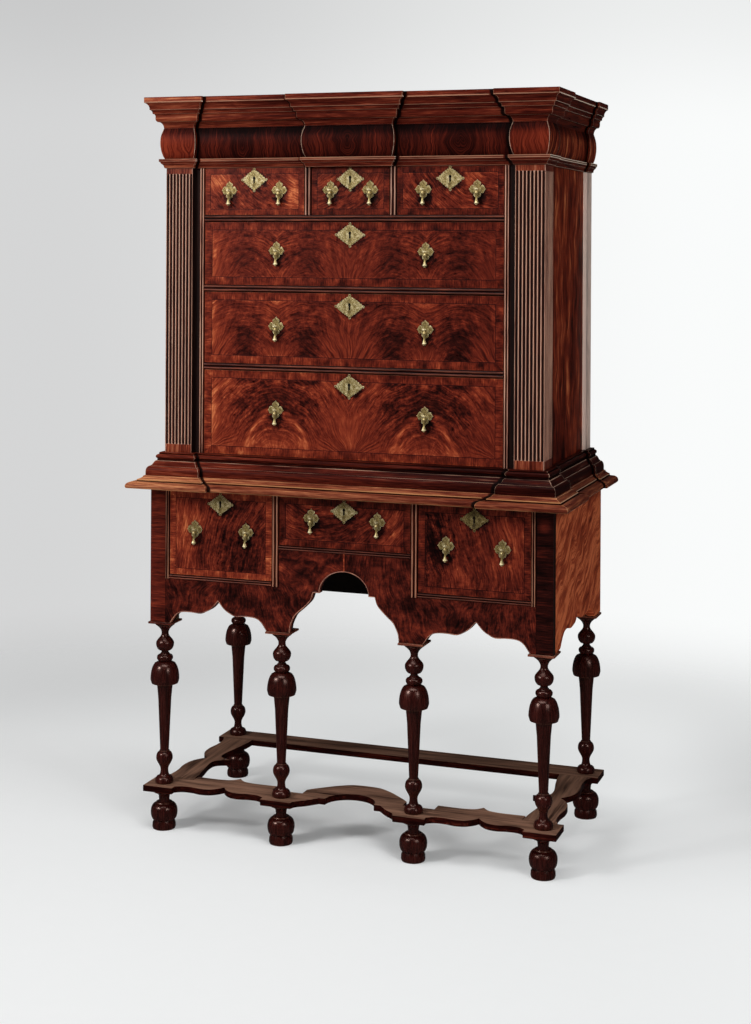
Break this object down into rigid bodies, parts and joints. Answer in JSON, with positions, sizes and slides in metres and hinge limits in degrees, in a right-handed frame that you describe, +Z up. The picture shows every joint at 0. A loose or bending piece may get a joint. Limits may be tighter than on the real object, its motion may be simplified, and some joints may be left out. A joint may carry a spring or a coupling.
{
  "type": "high chest of drawers",
  "caption": "Walnut high chest of drawers: upper case between fluted corner pilasters on a lower case with scalloped apron, turned legs, shaped flat stretcher and brass drop pulls.",
  "frame": {"origin": "on the floor, under the middle of the whole piece", "axes": "+Z up, +X to the right of someone who faces the front, -Y is the front"},
  "size_m": [1.0872, 0.5536, 1.7734],
  "materials": {
    "walnut_veneer": "polished figured veneer",
    "carcase_walnut": "polished",
    "turned_walnut": "glossy",
    "secondary_wood": "unfinished",
    "brass": "aged, lightly engraved"
  },
  "bodies": {
    "case": {"waist_moulding": "carcase_walnut", "base_moulding": "carcase_walnut", "frieze": "walnut_veneer", "cornice": "carcase_walnut", "corner_pilaster_left": "carcase_walnut", "corner_pilaster_right": "carcase_walnut", "upper_side_left": "walnut_veneer", "upper_side_right": "walnut_veneer", "upper_back": "secondary_wood", "divider_1": "carcase_walnut", "divider_2": "carcase_walnut", "divider_3": "carcase_walnut", "lower_front": "walnut_veneer", "lower_side_left": "walnut_veneer", "lower_side_right": "walnut_veneer", "lower_back": "secondary_wood", "lower_drawer_floors": "secondary_wood", "stretcher_front": "carcase_walnut", "stretcher_rear": "carcase_walnut", "stretcher_left": "carcase_walnut", "stretcher_right": "carcase_walnut", "leg_front_left": "turned_walnut", "leg_front_inner_left": "turned_walnut", "leg_front_inner_right": "turned_walnut", "leg_front_right": "turned_walnut", "leg_rear_left": "turned_walnut", "leg_rear_right": "turned_walnut", "foot_front_left": "turned_walnut", "foot_front_inner_left": "turned_walnut", "foot_front_inner_right": "turned_walnut", "foot_front_right": "turned_walnut", "foot_rear_left": "turned_walnut", "foot_rear_right": "turned_walnut"},
    "drawer_bottom": {"drawer_bottom": "walnut_veneer"},
    "drop_bottom_left": {"drop_bottom_left": "brass"},
    "drop_bottom_right": {"drop_bottom_right": "brass"},
    "drawer_third": {"drawer_third": "walnut_veneer"},
    "drop_third_left": {"drop_third_left": "brass"},
    "drop_third_right": {"drop_third_right": "brass"},
    "drawer_second": {"drawer_second": "walnut_veneer"},
    "drop_second_left": {"drop_second_left": "brass"},
    "drop_second_right": {"drop_second_right": "brass"},
    "drawer_top_left": {"drawer_top_left": "walnut_veneer"},
    "drop_top_left_left": {"drop_top_left_left": "brass"},
    "drop_top_left_right": {"drop_top_left_right": "brass"},
    "drawer_top_centre": {"drawer_top_centre": "walnut_veneer"},
    "drop_top_centre_left": {"drop_top_centre_left": "brass"},
    "drop_top_centre_right": {"drop_top_centre_right": "brass"},
    "drawer_top_right": {"drawer_top_right": "walnut_veneer"},
    "drop_top_right_left": {"drop_top_right_left": "brass"},
    "drop_top_right_right": {"drop_top_right_right": "brass"},
    "drawer_lower_left": {"drawer_lower_left": "walnut_veneer"},
    "drop_lower_left_left": {"drop_lower_left_left": "brass"},
    "drop_lower_left_right": {"drop_lower_left_right": "brass"},
    "drawer_lower_centre": {"drawer_lower_centre": "walnut_veneer"},
    "drop_lower_centre_left": {"drop_lower_centre_left": "brass"},
    "drop_lower_centre_right": {"drop_lower_centre_right": "brass"},
    "drawer_lower_right": {"drawer_lower_right": "walnut_veneer"},
    "drop_lower_right_left": {"drop_lower_right_left": "brass"},
    "drop_lower_right_right": {"drop_lower_right_right": "brass"}
  },
  "joints": [
    {"name": "drawer_bottom_slide", "type": "slide", "parent": "case", "child": "drawer_bottom", "axis": [0, -1, 0], "range_m": [0, 0.33]},
    {"name": "drop_bottom_left_swing", "type": "hinge", "parent": "drawer_bottom", "child": "drop_bottom_left", "pos_m": [-0.1865, -0.201, 1.0255], "axis": [-1, 0, 0], "range_deg": [0, 100]},
    {"name": "drop_bottom_right_swing", "type": "hinge", "parent": "drawer_bottom", "child": "drop_bottom_right", "pos_m": [0.1865, -0.201, 1.0255], "axis": [-1, 0, 0], "range_deg": [0, 100]},
    {"name": "drawer_third_slide", "type": "slide", "parent": "case", "child": "drawer_third", "axis": [0, -1, 0], "range_m": [0, 0.33]},
    {"name": "drop_third_left_swing", "type": "hinge", "parent": "drawer_third", "child": "drop_third_left", "pos_m": [-0.1865, -0.201, 1.225], "axis": [-1, 0, 0], "range_deg": [0, 100]},
    {"name": "drop_third_right_swing", "type": "hinge", "parent": "drawer_third", "child": "drop_third_right", "pos_m": [0.1865, -0.201, 1.225], "axis": [-1, 0, 0], "range_deg": [0, 100]},
    {"name": "drawer_second_slide", "type": "slide", "parent": "case", "child": "drawer_second", "axis": [0, -1, 0], "range_m": [0, 0.33]},
    {"name": "drop_second_left_swing", "type": "hinge", "parent": "drawer_second", "child": "drop_second_left", "pos_m": [-0.1865, -0.201, 1.405], "axis": [-1, 0, 0], "range_deg": [0, 100]},
    {"name": "drop_second_right_swing", "type": "hinge", "parent": "drawer_second", "child": "drop_second_right", "pos_m": [0.1865, -0.201, 1.405], "axis": [-1, 0, 0], "range_deg": [0, 100]},
    {"name": "drawer_top_left_slide", "type": "slide", "parent": "case", "child": "drawer_top_left", "axis": [0, -1, 0], "range_m": [0, 0.33]},
    {"name": "drop_top_left_left_swing", "type": "hinge", "parent": "drawer_top_left", "child": "drop_top_left_left", "pos_m": [-0.3095, -0.201, 1.549], "axis": [-1, 0, 0], "range_deg": [0, 100]},
    {"name": "drop_top_left_right_swing", "type": "hinge", "parent": "drawer_top_left", "child": "drop_top_left_right", "pos_m": [-0.18, -0.201, 1.549], "axis": [-1, 0, 0], "range_deg": [0, 100]},
    {"name": "drawer_top_centre_slide", "type": "slide", "parent": "case", "child": "drawer_top_centre", "axis": [0, -1, 0], "range_m": [0, 0.33]},
    {"name": "drop_top_centre_left_swing", "type": "hinge", "parent": "drawer_top_centre", "child": "drop_top_centre_left", "pos_m": [-0.0495, -0.201, 1.549], "axis": [-1, 0, 0], "range_deg": [0, 100]},
    {"name": "drop_top_centre_right_swing", "type": "hinge", "parent": "drawer_top_centre", "child": "drop_top_centre_right", "pos_m": [0.0495, -0.201, 1.549], "axis": [-1, 0, 0], "range_deg": [0, 100]},
    {"name": "drawer_top_right_slide", "type": "slide", "parent": "case", "child": "drawer_top_right", "axis": [0, -1, 0], "range_m": [0, 0.33]},
    {"name": "drop_top_right_left_swing", "type": "hinge", "parent": "drawer_top_right", "child": "drop_top_right_left", "pos_m": [0.18, -0.201, 1.549], "axis": [-1, 0, 0], "range_deg": [0, 100]},
    {"name": "drop_top_right_right_swing", "type": "hinge", "parent": "drawer_top_right", "child": "drop_top_right_right", "pos_m": [0.3095, -0.201, 1.549], "axis": [-1, 0, 0], "range_deg": [0, 100]},
    {"name": "drawer_lower_left_slide", "type": "slide", "parent": "case", "child": "drawer_lower_left", "axis": [0, -1, 0], "range_m": [0, 0.36]},
    {"name": "drop_lower_left_left_swing", "type": "hinge", "parent": "drawer_lower_left", "child": "drop_lower_left_left", "pos_m": [-0.38195, -0.231, 0.735], "axis": [-1, 0, 0], "range_deg": [0, 100]},
    {"name": "drop_lower_left_right_swing", "type": "hinge", "parent": "drawer_lower_left", "child": "drop_lower_left_right", "pos_m": [-0.24855, -0.231, 0.735], "axis": [-1, 0, 0], "range_deg": [0, 100]},
    {"name": "drawer_lower_centre_slide", "type": "slide", "parent": "case", "child": "drawer_lower_centre", "axis": [0, -1, 0], "range_m": [0, 0.36]},
    {"name": "drop_lower_centre_left_swing", "type": "hinge", "parent": "drawer_lower_centre", "child": "drop_lower_centre_left", "pos_m": [-0.0822, -0.231, 0.7787], "axis": [-1, 0, 0], "range_deg": [0, 100]},
    {"name": "drop_lower_centre_right_swing", "type": "hinge", "parent": "drawer_lower_centre", "child": "drop_lower_centre_right", "pos_m": [0.0822, -0.231, 0.7787], "axis": [-1, 0, 0], "range_deg": [0, 100]},
    {"name": "drawer_lower_right_slide", "type": "slide", "parent": "case", "child": "drawer_lower_right", "axis": [0, -1, 0], "range_m": [0, 0.36]},
    {"name": "drop_lower_right_left_swing", "type": "hinge", "parent": "drawer_lower_right", "child": "drop_lower_right_left", "pos_m": [0.24855, -0.231, 0.735], "axis": [-1, 0, 0], "range_deg": [0, 100]},
    {"name": "drop_lower_right_right_swing", "type": "hinge", "parent": "drawer_lower_right", "child": "drop_lower_right_right", "pos_m": [0.38195, -0.231, 0.735], "axis": [-1, 0, 0], "range_deg": [0, 100]}
  ]
}
